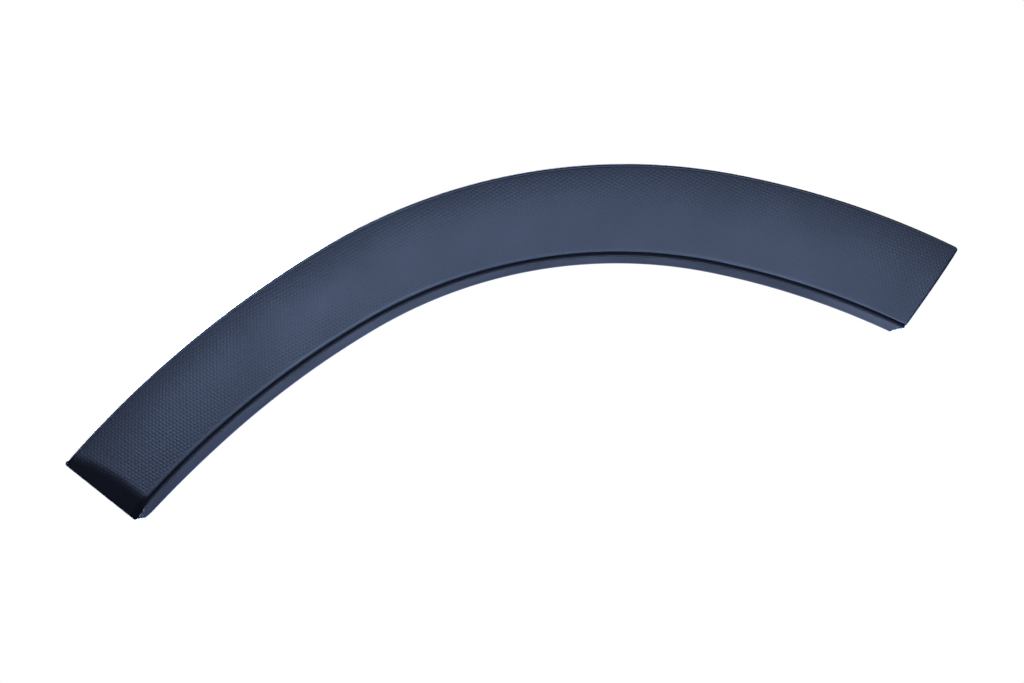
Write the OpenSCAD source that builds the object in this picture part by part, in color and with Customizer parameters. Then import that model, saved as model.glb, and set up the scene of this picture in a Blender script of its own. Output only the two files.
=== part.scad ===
// Wheel arch trim: one injection moulding with a grained face, a groove and a smooth wheel-side lip.
// X runs along the car, Z is up, and the face looks along -Y.
// The origin is on the axis of the main locating pin, where it meets the surface of the body side.

/* [Arch line] */
// Radius of the groove line where it passes over the wheel
top_r = 328.8; // [300:0.2:356]
// Radius of the groove line down the low flank
low_r = 633; // [540:1:720]
// Radius of the groove line down the high flank
high_r = 556; // [460:1:660]
// Angle from the top of the arch to the start of the low flank
low_blend_a = 30.5; // [25:0.5:36]
// Angle from the top of the arch to the low end
low_end_a = 49.2; // [45:0.2:54]
// Angle from the top of the arch to the start of the high flank
high_blend_a = 11.6; // [7:0.2:16]
// Angle from the top of the arch to the high end
high_end_a = 25.2; // [22:0.1:31]
// Lean of the low end cut past square to the arch line
low_cut_a = 2.9; // [0:0.1:8]
// Lean of the high end cut past square to the arch line
high_cut_a = 10.9; // [0:0.1:14]
// Length over which the sections turn from square to the end cut
cut_run = 190; // [120:5:240]
// Distance that the ends lie behind the middle, to follow the bulge of the body side
body_bow = 6; // [0:0.5:12]

/* [Face] */
// Width of the face at the low end, from the groove to the outer edge
low_face_w = 59.2; // [52:0.2:68]
// Width of the face at the top of the arch
top_face_w = 60.8; // [54:0.2:69]
// Width of the face at the high end
high_face_w = 66; // [58:0.2:74]
// Height of the face above the body along the groove
inner_rise = 14; // [12:0.25:18]
// Height of the face above the body along its outer edge
outer_rise = 7; // [6:0.25:9]
// Fullness of the crown, where 1 falls evenly to the outer edge and more falls late
crown_power = 2.6; // [1.6:0.1:4]
// Wall thickness of the face
wall = 2.6; // [2:0.1:3.2]
// Thickness of the return flange along the outer edge
flange_t = 2; // [1.5:0.1:2.6]
// Amount that the outer side leans in between its foot and the rounded edge
side_lean = 1; // [0.4:0.1:1.4]
// Radius of the rounded outer edge
edge_r = 1.2; // [0.8:0.1:1.4]
// Width of the smooth rim, from the foot of the outer side to the grained face
rim_w = 2.9; // [2.6:0.1:4]
// Height of the smooth rim above the grained face
rim_rise = 0.3; // [0.1:0.05:0.6]
// Radius of the outer corner at the high end
corner_r = 2.2; // [1:0.2:6]

/* [Groove and bead] */
// Width of the groove between the face and the lip
groove_w = 1.6; // [1:0.1:2.4]
// Depth of the groove below the bead
groove_d = 1.9; // [1:0.1:2.2]
// Width of the smooth bead beside the groove
bead_w = 2.3; // [1.6:0.1:3.2]
// Height of the bead above the grained face
bead_rise = 0.1; // [0:0.05:0.4]
// Drop of the bead's rounded side into the groove
bead_roll = 0.8; // [0.5:0.1:1.1]

/* [Lip] */
// Reach of the lip behind the surface of the body
lip_reach = 12; // [9:0.5:16]
// Distance from the groove to the lip's edge at the low end, towards the wheel
low_lip_w = 6.6; // [5.6:0.1:9]
// Distance from the groove to the lip's edge at the high end, towards the wheel
high_lip_w = 4.7; // [4:0.1:9]
// Thickness of the lip
lip_t = 2.4; // [1.8:0.1:2.8]
// Step down from the bead to the lip
lip_drop = 0.8; // [0.6:0.1:1.6]
// Amount that the lip narrows towards the low end
low_lip_pull = 1.6; // [0:0.1:2]
// Length over which it narrows
low_lip_run = 90; // [40:5:160]
// Radius of the lip's corner at the low end
low_lip_r = 10; // [4:0.5:12]
// Radius of the lip's corner at the high end
high_lip_r = 1.6; // [0.6:0.2:6]
// Length over which the lip's wheel side rounds off at the low end
low_round_r = 4; // [1:0.5:6]
// Share of the lip's width that is left at the low end
low_round_share = 0.35; // [0.3:0.05:1]
// Length over which the lip's wheel side rounds off at the high end
high_round_r = 2.2; // [1:0.2:4]
// Share of the lip's width that is left at the high end
high_round_share = 0.7; // [0.4:0.05:1]

/* [Low end] */
// Slope of the bevel that closes the low end down to the body
bevel_a = 33; // [27:1:42]
// Softness of the turn from the face into the bevel
bevel_blend = 2.4; // [1:0.1:2.4]
// Radius of the small ear at the outer corner of the low end
ear_r = 1.9; // [1.4:0.1:2.6]
// Distance that the ear stands out past the outer edge
ear_out = 0.3; // [0.1:0.1:1.4]

/* [Clip towers] */
// Number of clip towers along the arch
clip_count = 6; // [5:1:7]
// Distance from each end to the middle of its nearest clip tower
clip_inset = 55; // [48:1:64]
// Distance from the groove line to the middle of a clip tower
clip_t = 31; // [28:0.5:34]
// Length of a clip tower along the arch
tower_l = 20; // [17:0.5:24]
// Width of a clip tower across the face
tower_w = 18; // [15:0.5:21]
// Wall thickness of a clip tower
tower_wall = 1.8; // [1.4:0.1:2.2]
// Thickness of the seat that the clip slides on
seat_t = 2; // [1.6:0.1:2.4]
// Gap between the seat and the surface of the body
seat_gap = 2.2; // [1.6:0.1:3]
// Diameter of the keyhole's round end
key_d = 9; // [7.6:0.1:10]
// Width of the keyhole's slot
key_slot_w = 6.6; // [5:0.1:7.2]

/* [Locating pins] */
// Radius of a locating pin
pin_r = 3.5; // [2.5:0.1:4.5]
// Length of the straight part of a locating pin behind the surface of the body
pin_reach = 9; // [6:0.5:14]
// Length of the pin's pointed lead
pin_lead = 2; // [1:0.25:3]
// Radius of the shoulder at the pin's root
pin_root_r = 5.5; // [5:0.1:7]
// Gap between the shoulder and the surface of the body
shoulder_gap = 1; // [0.5:0.1:2]

/* [Ribs] */
// Thickness of a cross rib
rib_t = 1.5; // [1:0.1:2]
// Gap between the cross ribs and the surface of the body
rib_gap = 3; // [2:0.25:4]
// Number of spaces that the ribs make between two clip towers
rib_spaces = 3; // [2:1:4]
// Thickness of the wall that closes the high end
end_wall_t = 2; // [1.4:0.1:2.6]

/* [Hidden] */

plastic = "#2b3142";
round_fn = 48;
// Steps of the lofted shell, along the arch and round its section
ring_step = 16;
bevel_ring_step = 2;
corner_rings = 3;
edge_steps = 3;
face_steps = 7;
lip_steps = 7;
lip_back_steps = 4;
back_steps = 5;
block_steps = 10;
// Run of the small chamfers and drafts that keep the section's corners open
draft = 0.15;
soft = 0.6;
// Distance across up to which the sections are drawn in where the lip rounds off at both ends
tuck_t = 1;

// Lengths of the three arcs of the groove line, measured from the low end
low_len = arc_len(low_r, low_end_a - low_blend_a);
top_len = arc_len(top_r, low_blend_a + high_blend_a);
high_len = arc_len(high_r, high_end_a - high_blend_a);
arch_len = low_len + top_len + high_len;
top_s = low_len + arc_len(top_r, low_blend_a);

// Each flank's centre lies on the line through the top arc's centre and the blend point
low_centre = (top_r - low_r) * heading(-low_blend_a);
high_centre = (top_r - high_r) * heading(high_blend_a);
mid_x = (line_at(0)[0] + line_at(arch_len)[0]) / 2;
half_span = (line_at(arch_len)[0] - line_at(0)[0]) / 2;

bevel_run = (inner_rise - wall + bevel_blend) / tan(bevel_a);
clip_pitch = (arch_len - 2 * clip_inset) / (clip_count - 1);
rib_pitch = clip_pitch / rib_spaces;
pin_t = clip_t;
main_pin_s = top_s;
second_pin_s = clip_inset + clip_pitch / 2;
main_pin = place(main_pin_s, pin_t);

// Arc length from a radius and an angle in degrees
function arc_len(r, a) = r * a * PI / 180;

// Unit direction at an angle from straight up, positive towards the high end
function heading(a) = [sin(a), cos(a)];

// Lean of the arch line's outward normal at a distance s from the low end
function lean(s) =
    s < low_len ? -low_end_a + s / low_r * 180 / PI :
    s < low_len + top_len ? (s - top_s) / top_r * 180 / PI :
    high_blend_a + (s - low_len - top_len) / high_r * 180 / PI;

// Point of the groove line, seen from the front, about the centre of the top arc
function line_at(s) =
    s < low_len ? low_centre + low_r * heading(lean(s)) :
    s < low_len + top_len ? top_r * heading(lean(s)) :
    high_centre + high_r * heading(lean(s));

// Lean of the section at s, which turns towards the end cuts near the ends
function cut_lean(s) =
    lean(s)
    - low_cut_a * pow(max(0, 1 - s / cut_run), 2)
    + high_cut_a * pow(max(0, 1 - (arch_len - s) / cut_run), 2);

// Point at s along the groove line and t across the section, seen from the front
function place(s, t) = line_at(s) + t * heading(cut_lean(s));

// Depth of the body's surface at x, which is zero at the main pin
function body_y(x) = body_bow * (pow(x - mid_x, 2) - pow(mid_x, 2)) / pow(half_span, 2);

// Amount that a rounded corner of radius r takes off at a distance d from the end
function corner_cut(r, d) = d >= r ? 0 : r - sqrt(r * r - pow(r - d, 2));

// Share of the lip's width at s, which is less where the lip rounds off at both ends
function lip_share(s) =
    1
    - (1 - low_round_share) * corner_cut(low_round_r, s) / low_round_r
    - (1 - high_round_share) * corner_cut(high_round_r, arch_len - s) / high_round_r;

// Point in space at s along, t across and h above the body
function point(s, t, h) =
    let (p = place(s, t < tuck_t ? tuck_t - (tuck_t - t) * lip_share(s) : t))
    [p[0] - main_pin[0], body_y(p[0]) - h, p[1] - main_pin[1]];

// Minimum of two heights with a rounded turn of softness k
function soft_min(a, b, k) = min(a, b) - pow(max(k - abs(a - b), 0), 2) / (4 * k);

// Width from the groove to the outer edge, a smooth curve through the three stated widths
function full_w(s) =
    let (u = s / arch_len, m = top_s / arch_len)
    low_face_w * (u - m) * (u - 1) / m
    + top_face_w * u * (u - 1) / (m * (m - 1))
    + high_face_w * u * (u - m) / (1 - m);
function face_w(s) = full_w(s) - corner_cut(corner_r, arch_len - s);

// Distance from the groove line to the lip's edge
function lip_w(s) =
    low_lip_w + (high_lip_w - low_lip_w) * s / arch_len
    - low_lip_pull * pow(max(0, 1 - s / low_lip_run), 2);

// Height of the grained face at t across a section w wide
function crown(t, w) = inner_rise - (inner_rise - outer_rise) * pow(t / w, crown_power);

// Height of the lip's edge, raised at its rounded corners
function tip_h(s) = -lip_reach + corner_cut(low_lip_r, s) + corner_cut(high_lip_r, arch_len - s);

// Height of the bevel at the low end, which leaves one wall thickness over the body
function bevel_h(s) = wall + s * tan(bevel_a);

// Distance across at height h on the lip's wheel side
lip_top_h = inner_rise - lip_drop - soft;
lip_top_t = -groove_w / 2 - 2 * soft;
function lip_t_at(s, h) =
    lip_top_t - (lip_w(s) + lip_top_t) * (lip_top_h - h) / (lip_top_h + lip_reach);

// Visible side of the section, from the back of the outer flange round to the lip's edge
function front_side(s) =
    let (
        w = face_w(s),
        edge_h = outer_rise + rim_rise,
        face_in = groove_w / 2 + bead_w,
        face_out = w - rim_w - soft / 2,
        shoulder = inner_rise - lip_drop,
        tip = tip_h(s) + soft
    )
    concat(
        [[w, 0]],
        [for (i = [0 : edge_steps])
            let (a = 90 * i / edge_steps)
            [w - side_lean - edge_r + edge_r * cos(a), edge_h - edge_r + edge_r * sin(a)]],
        [[w - rim_w, edge_h + draft / 2]],
        [for (i = [0 : face_steps])
            let (t = face_out + (face_in - face_out) * i / face_steps)
            [t, crown(t, w)]],
        [
            [groove_w / 2 + 0.6 * bead_w, inner_rise + bead_rise],
            [groove_w / 2 + 0.3 * bead_w, inner_rise + bead_rise - 0.14 * bead_roll],
            [groove_w / 2 + 0.08 * bead_w, inner_rise + bead_rise - 0.5 * bead_roll],
            [groove_w / 2, inner_rise + bead_rise - bead_roll],
            [groove_w / 6, inner_rise + bead_rise - groove_d],
            [-groove_w / 6, inner_rise + bead_rise - groove_d - draft],
            [-groove_w / 2, shoulder - soft / 2],
            [-groove_w / 2 - soft / 2, shoulder],
            [-groove_w / 2 - soft * 1.3, shoulder - soft / 4]
        ],
        [for (i = [0 : lip_steps])
            let (h = lip_top_h + (tip - lip_top_h) * i / lip_steps)
            [lip_t_at(s, h), h]],
        [[lip_t_at(s, tip - soft) + soft, tip - soft]]
    );

// Hidden side of the section, from the lip's edge back to the outer flange
function back_side(s) =
    let (
        w = face_w(s),
        tip = tip_h(s) + soft,
        root_h = inner_rise + bead_rise - groove_d - wall - 2 * draft,
        lip_root_h = root_h - 2 * soft,
        face_in = groove_w / 2 + lip_t + 2 * soft,
        face_out = w - flange_t - 2 * soft
    )
    concat(
        [[lip_t_at(s, tip - soft) + lip_t - soft, tip - soft]],
        [for (i = [0 : lip_back_steps])
            let (h = tip + (lip_root_h - tip) * i / lip_back_steps)
            [lip_t_at(s, h) + lip_t, h]],
        [[lip_top_t + lip_t + soft, root_h - soft / 2],
         [lip_top_t + lip_t + 2.5 * soft, root_h]],
        [for (i = [0 : back_steps])
            let (t = face_in + (face_out - face_in) * i / back_steps)
            [t, crown(t, w) - wall]],
        [[w - flange_t - soft, crown(w - flange_t, w) - wall - soft / 3],
         [w - flange_t - draft, crown(w, w) - wall - 2 * soft],
         [w - flange_t, 0]]
    );

// Closed section at s, with both sides brought down under the bevel at the low end
function section(s) = concat(
    [for (p = front_side(s)) point(s, p[0], soft_min(p[1], bevel_h(s), bevel_blend))],
    [for (p = back_side(s)) point(s, p[0], min(p[1], bevel_h(s) - wall))]
);

// Stations of the sections, close together over the bevel and at the rounded corners
plain_len = arch_len - bevel_run - corner_r;
bevel_rings = ceil(bevel_run / bevel_ring_step);
plain_rings = ceil(plain_len / ring_step);
stations = concat(
    [for (i = [0 : bevel_rings - 1]) bevel_run * i / bevel_rings],
    [for (i = [0 : plain_rings - 1]) bevel_run + plain_len * i / plain_rings],
    [for (i = [0 : corner_rings]) arch_len - corner_r * (1 - sin(90 * i / corner_rings))]
);

// Shell lofted through the sections
module shell() {
    rings = [for (s = stations) section(s)];
    n = len(rings[0]);
    last = (len(rings) - 1) * n;
    polyhedron(
        points = [for (ring = rings) each ring],
        faces = concat(
            [for (k = [len(rings) - 2 : -1 : 0], i = [0 : n - 1])
                let (j = (i + 1) % n)
                each [
                    [k * n + i, (k + 1) * n + j, k * n + j],
                    [k * n + i, (k + 1) * n + i, (k + 1) * n + j]
                ]],
            [[for (i = [0 : n - 1]) last + n - 1 - i]],
            [[for (i = [0 : n - 1]) i]]
        ),
        convexity = 6
    );
}

// Children are drawn at s along and t across, with X along the arch, Y from the body's surface
// into the car, and Z outwards across the face
module at_station(s, t) {
    p = place(s, t);
    translate([p[0] - main_pin[0], body_y(p[0]), p[1] - main_pin[1]])
        rotate([0, cut_lean(s), 0])
            children();
}

// Block in the channel at s, length long and from t_in to t_out across, which is bedded half the
// wall deep in the shell and ends at the height h_low above the body
module channel_block(s, length, t_in, t_out, h_low) {
    w = full_w(s);
    base_y = body_y(place(s, 0)[0]);
    top = [for (i = [0 : block_steps])
        let (t = t_in + (t_out - t_in) * i / block_steps)
        [t, crown(max(t, 0), w) - wall / 2 - (t < groove_w / 2 + lip_t ? groove_d : 0)]];
    outline = concat(top, [[t_out, h_low], [t_in, h_low]]);
    at_station(s, 0)
        rotate([90, 0, 90])
            translate([0, 0, -length / 2])
                linear_extrude(length)
                    polygon([for (p = outline)
                        [body_y(place(s, p[0])[0]) - base_y - p[1], p[0]]]);
}

// Thin wall from the lip to the outer flange
module cross_wall(s, thick, h_low) {
    channel_block(s, thick, lip_t_at(s, h_low) + lip_t / 2, full_w(s) - flange_t / 2, h_low);
}

// Hollow tower whose seat holds the head of a push-in clip, open on its outer side
module clip_tower(s) {
    difference() {
        channel_block(s, tower_l, clip_t - tower_w / 2, clip_t + tower_w / 2, seat_gap);
        at_station(s, clip_t) {
            translate([-tower_l / 2 + tower_wall, -2 * inner_rise, -tower_w / 2 + tower_wall])
                cube([tower_l - 2 * tower_wall, 2 * inner_rise - seat_gap - seat_t, tower_w]);
            rotate([90, 0, 0])
                cylinder(h = 4 * seat_gap + 4 * seat_t, d = key_d, center = true, $fn = round_fn);
            translate([-key_slot_w / 2, -2 * seat_gap - 2 * seat_t, 0])
                cube([key_slot_w, 4 * seat_gap + 4 * seat_t, tower_w]);
        }
    }
}

// Round pin on a shoulder, with a pointed lead, that finds its hole in the body side
module locating_pin(s) {
    root_h = crown(pin_t, full_w(s)) - wall / 2;
    tip_r = pin_r - pin_lead / 2;
    at_station(s, pin_t)
        rotate([-90, 0, 0])
            rotate_extrude($fn = round_fn)
                polygon([
                    [0, -root_h], [pin_root_r, -root_h], [pin_root_r, -shoulder_gap],
                    [pin_r, -shoulder_gap], [pin_r, pin_reach],
                    [tip_r, pin_reach + pin_lead], [0, pin_reach + pin_lead]
                ]);
}

// Small round ear at the outer corner of the low end
module corner_ear() {
    at_station(ear_r, full_w(0) - ear_r + ear_out)
        rotate([90, 0, 0])
            cylinder(h = wall, r = ear_r, $fn = round_fn);
}

module arch_trim() {
    color(plastic)
        union() {
            shell();
            for (i = [0 : clip_count - 1])
                clip_tower(clip_inset + i * clip_pitch);
            for (i = [-1 : (clip_count - 1) * rib_spaces + 1])
                if (i % rib_spaces != 0)
                    cross_wall(clip_inset + i * rib_pitch, rib_t, rib_gap);
            cross_wall(arch_len - corner_r - end_wall_t / 2, end_wall_t, 0);
            for (s = [main_pin_s, second_pin_s])
                locating_pin(s);
            corner_ear();
        }
}

arch_trim();
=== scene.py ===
# %% [markdown]
# # A moulded wheel arch trim
#
# The object is one injection moulding that covers the edge of a car's body side over a wheel.
# Seen from outside it has a broad crowned face with a grain of small raised dots, a smooth bead and a
# groove along the wheel side, and a smooth lip that turns in behind the body. Its low end is closed by
# a bevel. On its back it has ribs, towers for push-in clips, and two locating pins.
#
# This lesson builds it as surfaces that are worked out with numpy. Every surface is a function of two
# numbers: `s`, the distance along the arch from its low end, and `t`, the distance across it from the
# groove. A third number, `h`, is the height above the body side. All three are in millimetres.

import bpy
import numpy as np
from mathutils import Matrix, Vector
from mathutils.geometry import delaunay_2d_cdt, tessellate_polygon


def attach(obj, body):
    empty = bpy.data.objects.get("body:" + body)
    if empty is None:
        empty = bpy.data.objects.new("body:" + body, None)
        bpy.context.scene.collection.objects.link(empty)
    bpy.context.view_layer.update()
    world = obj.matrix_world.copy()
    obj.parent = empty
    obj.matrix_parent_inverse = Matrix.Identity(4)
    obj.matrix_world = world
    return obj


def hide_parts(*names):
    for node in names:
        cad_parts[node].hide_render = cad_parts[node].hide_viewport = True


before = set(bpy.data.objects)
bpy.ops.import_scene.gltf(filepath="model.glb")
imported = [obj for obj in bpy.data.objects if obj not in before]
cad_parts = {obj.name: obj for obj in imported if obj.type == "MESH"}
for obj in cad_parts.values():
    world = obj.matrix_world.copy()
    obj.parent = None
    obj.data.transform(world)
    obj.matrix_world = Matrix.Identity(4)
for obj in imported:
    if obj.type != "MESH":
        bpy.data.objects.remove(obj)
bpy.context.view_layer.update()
print("solids:", sorted(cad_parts))

# %% [markdown]
# ## Sizes
#
# These are the sizes that the solid model was made from, in millimetres and degrees, so that each new
# surface lies where its solid is. `X` runs along the car, `Z` is up, and the face looks along `-Y`.

# %% Sizes of the arch line and the section
TOP_R, LOW_R, HIGH_R = 328.8, 633.0, 556.0
LOW_BLEND_A, LOW_END_A = 30.5, 49.2
HIGH_BLEND_A, HIGH_END_A = 11.6, 25.2
LOW_CUT_A, HIGH_CUT_A, CUT_RUN = 2.9, 10.9, 190.0
BODY_BOW = 6.0

LOW_FACE_W, TOP_FACE_W, HIGH_FACE_W = 59.2, 60.8, 66.0
INNER_RISE, OUTER_RISE, CROWN_POWER = 14.0, 7.0, 2.6
WALL, FLANGE_T = 2.6, 2.0
SIDE_LEAN, EDGE_R, RIM_W, RIM_RISE, CORNER_R = 1.0, 1.2, 2.9, 0.3, 2.2

GROOVE_W, GROOVE_D, BEAD_W, BEAD_RISE, BEAD_ROLL = 1.6, 1.9, 2.3, 0.1, 0.8
LIP_REACH, LOW_LIP_W, HIGH_LIP_W, LIP_T, LIP_DROP = 12.0, 6.6, 4.7, 2.4, 0.8
LOW_LIP_PULL, LOW_LIP_RUN, LOW_LIP_R, HIGH_LIP_R = 1.6, 90.0, 10.0, 1.6
LOW_ROUND_R, LOW_ROUND_SHARE, HIGH_ROUND_R, HIGH_ROUND_SHARE = 4.0, 0.35, 2.2, 0.7
BEVEL_A, BEVEL_BLEND = 33.0, 2.4
EAR_R, EAR_OUT = 1.9, 0.3

CLIP_COUNT, CLIP_INSET, CLIP_T = 6, 55.0, 31.0
TOWER_L, TOWER_W, TOWER_WALL, SEAT_T, SEAT_GAP = 20.0, 18.0, 1.8, 2.0, 2.2
KEY_D, KEY_SLOT_W = 9.0, 6.6
PIN_R, PIN_REACH, PIN_LEAD, PIN_ROOT_R, SHOULDER_GAP = 3.5, 9.0, 2.0, 5.5, 1.0
RIB_T, RIB_GAP, RIB_SPACES, END_WALL_T = 1.5, 3.0, 3, 2.0

# Drafts and small roundings of the section, and where the lip's side starts to be drawn in at its ends
DRAFT, SOFT, TUCK_T = 0.15, 0.6, 1.0

print(f"face {LOW_FACE_W} to {HIGH_FACE_W} mm wide, wall {WALL} mm, lip {LIP_REACH} mm behind the body side")

# %% [markdown]
# ## The arch line
#
# On a car the trim follows the edge of the body over the wheel. The groove is its clearest line, so
# everything is measured from there. A Bezier curve could be drawn over the photograph. Arcs are simpler,
# because a point on an arc is one short formula, and they fit the outline to about a pixel. The groove
# follows three of them that meet without a kink: a small one over the wheel and a larger one down each
# flank. A point at `s` on an arc of radius `R` has turned by `s / R` radians.

# %% Arch line
LOW_LEN = LOW_R * np.radians(LOW_END_A - LOW_BLEND_A)
TOP_LEN = TOP_R * np.radians(LOW_BLEND_A + HIGH_BLEND_A)
HIGH_LEN = HIGH_R * np.radians(HIGH_END_A - HIGH_BLEND_A)
ARCH_LEN = LOW_LEN + TOP_LEN + HIGH_LEN
TOP_S = LOW_LEN + TOP_R * np.radians(LOW_BLEND_A)


def lean(s):
    """Turn of the line at s in degrees: the arc length so far over the arc's radius."""
    low = -LOW_END_A + np.degrees(s / LOW_R)
    top = np.degrees((s - TOP_S) / TOP_R)
    high = HIGH_BLEND_A + np.degrees((s - LOW_LEN - TOP_LEN) / HIGH_R)
    return np.where(s < LOW_LEN, low, np.where(s < LOW_LEN + TOP_LEN, top, high))


def heading(degrees):
    """Unit vector in the X-Z plane: (sine, cosine) of the angle from straight up."""
    a = np.radians(degrees)
    return np.stack([np.sin(a), np.cos(a)], axis=-1)


def line_at(s):
    """Point of the groove line: an arc's centre plus its radius times the heading there."""
    s = np.asarray(s, float)
    low_centre = (TOP_R - LOW_R) * heading(-LOW_BLEND_A)
    high_centre = (TOP_R - HIGH_R) * heading(HIGH_BLEND_A)
    on_low = (s < LOW_LEN)[..., None]
    on_top = (s < LOW_LEN + TOP_LEN)[..., None]
    centre = np.where(on_low, low_centre, np.where(on_top, 0.0, high_centre))
    radius = np.where(on_low, LOW_R, np.where(on_top, TOP_R, HIGH_R))
    return centre + radius * heading(lean(s))


def cut_lean(s):
    """Turn of the section at s: the line's own, plus a share of the end cuts that dies out squarely."""
    low_share = np.clip(1 - s / CUT_RUN, 0, None) ** 2
    high_share = np.clip(1 - (ARCH_LEN - s) / CUT_RUN, 0, None) ** 2
    return lean(s) - LOW_CUT_A * low_share + HIGH_CUT_A * high_share


def place(s, t):
    """Point in the X-Z plane: the groove line at s plus t along the section's heading."""
    return line_at(s) + np.asarray(t)[..., None] * heading(cut_lean(s))


MAIN_PIN = place(TOP_S, CLIP_T)
MID_X = (line_at(0.0)[0] + line_at(ARCH_LEN)[0]) / 2
HALF_SPAN = (line_at(ARCH_LEN)[0] - line_at(0.0)[0]) / 2


def body_y(x):
    """Depth of the body side, a parabola across the arch that is zero at the main pin."""
    return BODY_BOW * ((x - MID_X) ** 2 - MID_X**2) / HALF_SPAN**2


def in_space(xz, h):
    """X, Y, Z in metres of a point in the X-Z plane that stands h above the body side."""
    x, z = xz[..., 0], xz[..., 1]
    return np.stack([x - MAIN_PIN[0], body_y(x) - h, z - MAIN_PIN[1]], axis=-1) / 1000


print(f"groove line {ARCH_LEN:.1f} mm long, main pin {TOP_S:.1f} mm from the low end")

# %% [markdown]
# ## The section and its changes along the arch
#
# The face gets wider towards the high end and the lip gets narrower. The face's crown falls as a power
# of the distance across, slowly at the groove and fast at the outer edge. The bevel is a plane, and a
# soft minimum of the two heights gives the rounded turn between them. A boolean cut and a bevel modifier
# could do that too, but they would cut through the fine mesh of the face, and a formula leaves it whole.

# %% Widths and heights
def corner_cut(r, d):
    """What a rounded corner of radius r takes off at distance d: r less a circle's height there."""
    return r - np.sqrt(np.clip(r * r - np.clip(r - d, 0, None) ** 2, 0, None))


def soft_min(a, b, k):
    """Smaller of a and b, less the square of (k - |a - b|) over 4k where they are nearly equal."""
    return np.minimum(a, b) - np.clip(k - np.abs(a - b), 0, None) ** 2 / (4 * k)


def full_w(s):
    """Width of the face: the parabola through the three stated widths."""
    u, m = s / ARCH_LEN, TOP_S / ARCH_LEN
    return (
        LOW_FACE_W * (u - m) * (u - 1) / m
        + TOP_FACE_W * u * (u - 1) / (m * (m - 1))
        + HIGH_FACE_W * u * (u - m) / (1 - m)
    )


def face_w(s):
    """Width of the face with the rounded outer corner at the high end taken off."""
    return full_w(s) - corner_cut(CORNER_R, ARCH_LEN - s)


def crown(t, w):
    """Height of the face: it falls from the inner to the outer rise as the power of t / w."""
    return INNER_RISE - (INNER_RISE - OUTER_RISE) * (np.clip(t, 0, None) / w) ** CROWN_POWER


widths = [round(float(full_w(s)), 1) for s in (0.0, TOP_S, ARCH_LEN)]
print("width of the face in mm at the low end, on top and at the high end:", widths)


# %% Bevel and end rounds
def bevel_h(s):
    """Height of the bevel's plane at s."""
    return WALL + s * np.tan(np.radians(BEVEL_A))


# The solid's ends have no such round
END_ROUND_R = 0.5


def end_round(s):
    """Height taken off by the small round along the edges of both ends."""
    return corner_cut(END_ROUND_R, s) + corner_cut(END_ROUND_R, ARCH_LEN - s)


def front_h(s, h):
    """A height on the outside, brought down softly under the bevel and rounded at both ends."""
    return soft_min(h, bevel_h(s), BEVEL_BLEND) - end_round(s)


def back_h(s, h):
    """A height on the inside, kept one wall under the bevel."""
    return np.minimum(h, bevel_h(s) - WALL)


bevel_run = (INNER_RISE - WALL) / np.tan(np.radians(BEVEL_A))
print(f"the bevel's plane comes up to the face {bevel_run:.1f} mm from the low end")

# %% Borders of the grained face
FACE_IN = GROOVE_W / 2 + BEAD_W


def face_out(s):
    """Distance across to the grained face's outer border, beside the smooth rim."""
    return face_w(s) - RIM_W - SOFT / 2


print(f"grained from {FACE_IN:.1f} mm across to {face_out(TOP_S):.1f} mm on top")


# %% Lip
def tip_h(s):
    """Height of the lip's edge, raised at its rounded corners."""
    return corner_cut(LOW_LIP_R, s) + corner_cut(HIGH_LIP_R, ARCH_LEN - s) - LIP_REACH


LIP_TOP_T, LIP_TOP_H = -GROOVE_W / 2 - 2 * SOFT, INNER_RISE - LIP_DROP - SOFT


def lip_t_at(s, h):
    """Distance across at height h on the lip's wheel side: a straight slope down to the lip's edge."""
    pull = LOW_LIP_PULL * np.clip(1 - s / LOW_LIP_RUN, 0, None) ** 2
    lip_w = LOW_LIP_W + (HIGH_LIP_W - LOW_LIP_W) * s / ARCH_LEN - pull
    return LIP_TOP_T - (lip_w + LIP_TOP_T) * (LIP_TOP_H - h) / (LIP_TOP_H + LIP_REACH)


# The solid's lip is flat there
LIP_SINK = 0.3


def lip_hollow(h):
    """Hollow of the lip's wheel side, as a flat wall sinks in cooling: a parabola from top to edge."""
    u = (LIP_TOP_H - h) / (LIP_TOP_H + LIP_REACH)
    return 4 * LIP_SINK * np.clip(u * (1 - u), 0, None)


def tucked(s, t):
    """t with the lip's side drawn in at both ends: its distance from TUCK_T shrinks by the rounds' share."""
    low = (1 - LOW_ROUND_SHARE) * corner_cut(LOW_ROUND_R, s) / LOW_ROUND_R
    high = (1 - HIGH_ROUND_SHARE) * corner_cut(HIGH_ROUND_R, ARCH_LEN - s) / HIGH_ROUND_R
    return np.where(t < TUCK_T, TUCK_T - (TUCK_T - t) * (1 - low - high), t)


print(f"on top the lip's edge is {-lip_t_at(TOP_S, -LIP_REACH):.1f} mm across from the groove")

# %% [markdown]
# ## The profile round the smooth parts
#
# From the grained face's inner border the profile goes over the bead, through the groove, over the
# lip's shoulder, down the lip, round its edge, and back along the hidden side to the outer flange and
# the rim. It is written once, as columns of `(t, h)` that hold a value for every station `s`, so that
# one list gives all sections, where a hand-made mesh would need each section drawn. Round corners are
# arcs: a centre plus a radius times the cosine and sine of a growing angle.

# %% Profile columns
# Where the bead is highest, as a share of its width, and the small roundings of the groove and the edges
CREST_SHARE, FLOOR_SHARE, FLOOR_ROUND, FOOT_CHAMFER, RIM_LEAD = 0.6, 0.12, 0.12, 0.3, 0.2


def arc(t0, h0, rt, rh, start, end, steps):
    """Columns of an elliptical arc: (t0 + rt cos a, h0 + rh sin a) for equal steps of the angle a."""
    a = np.radians(np.linspace(start, end, steps))
    return [(t0 + rt * np.cos(v), h0 + rh * np.sin(v)) for v in a]


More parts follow.
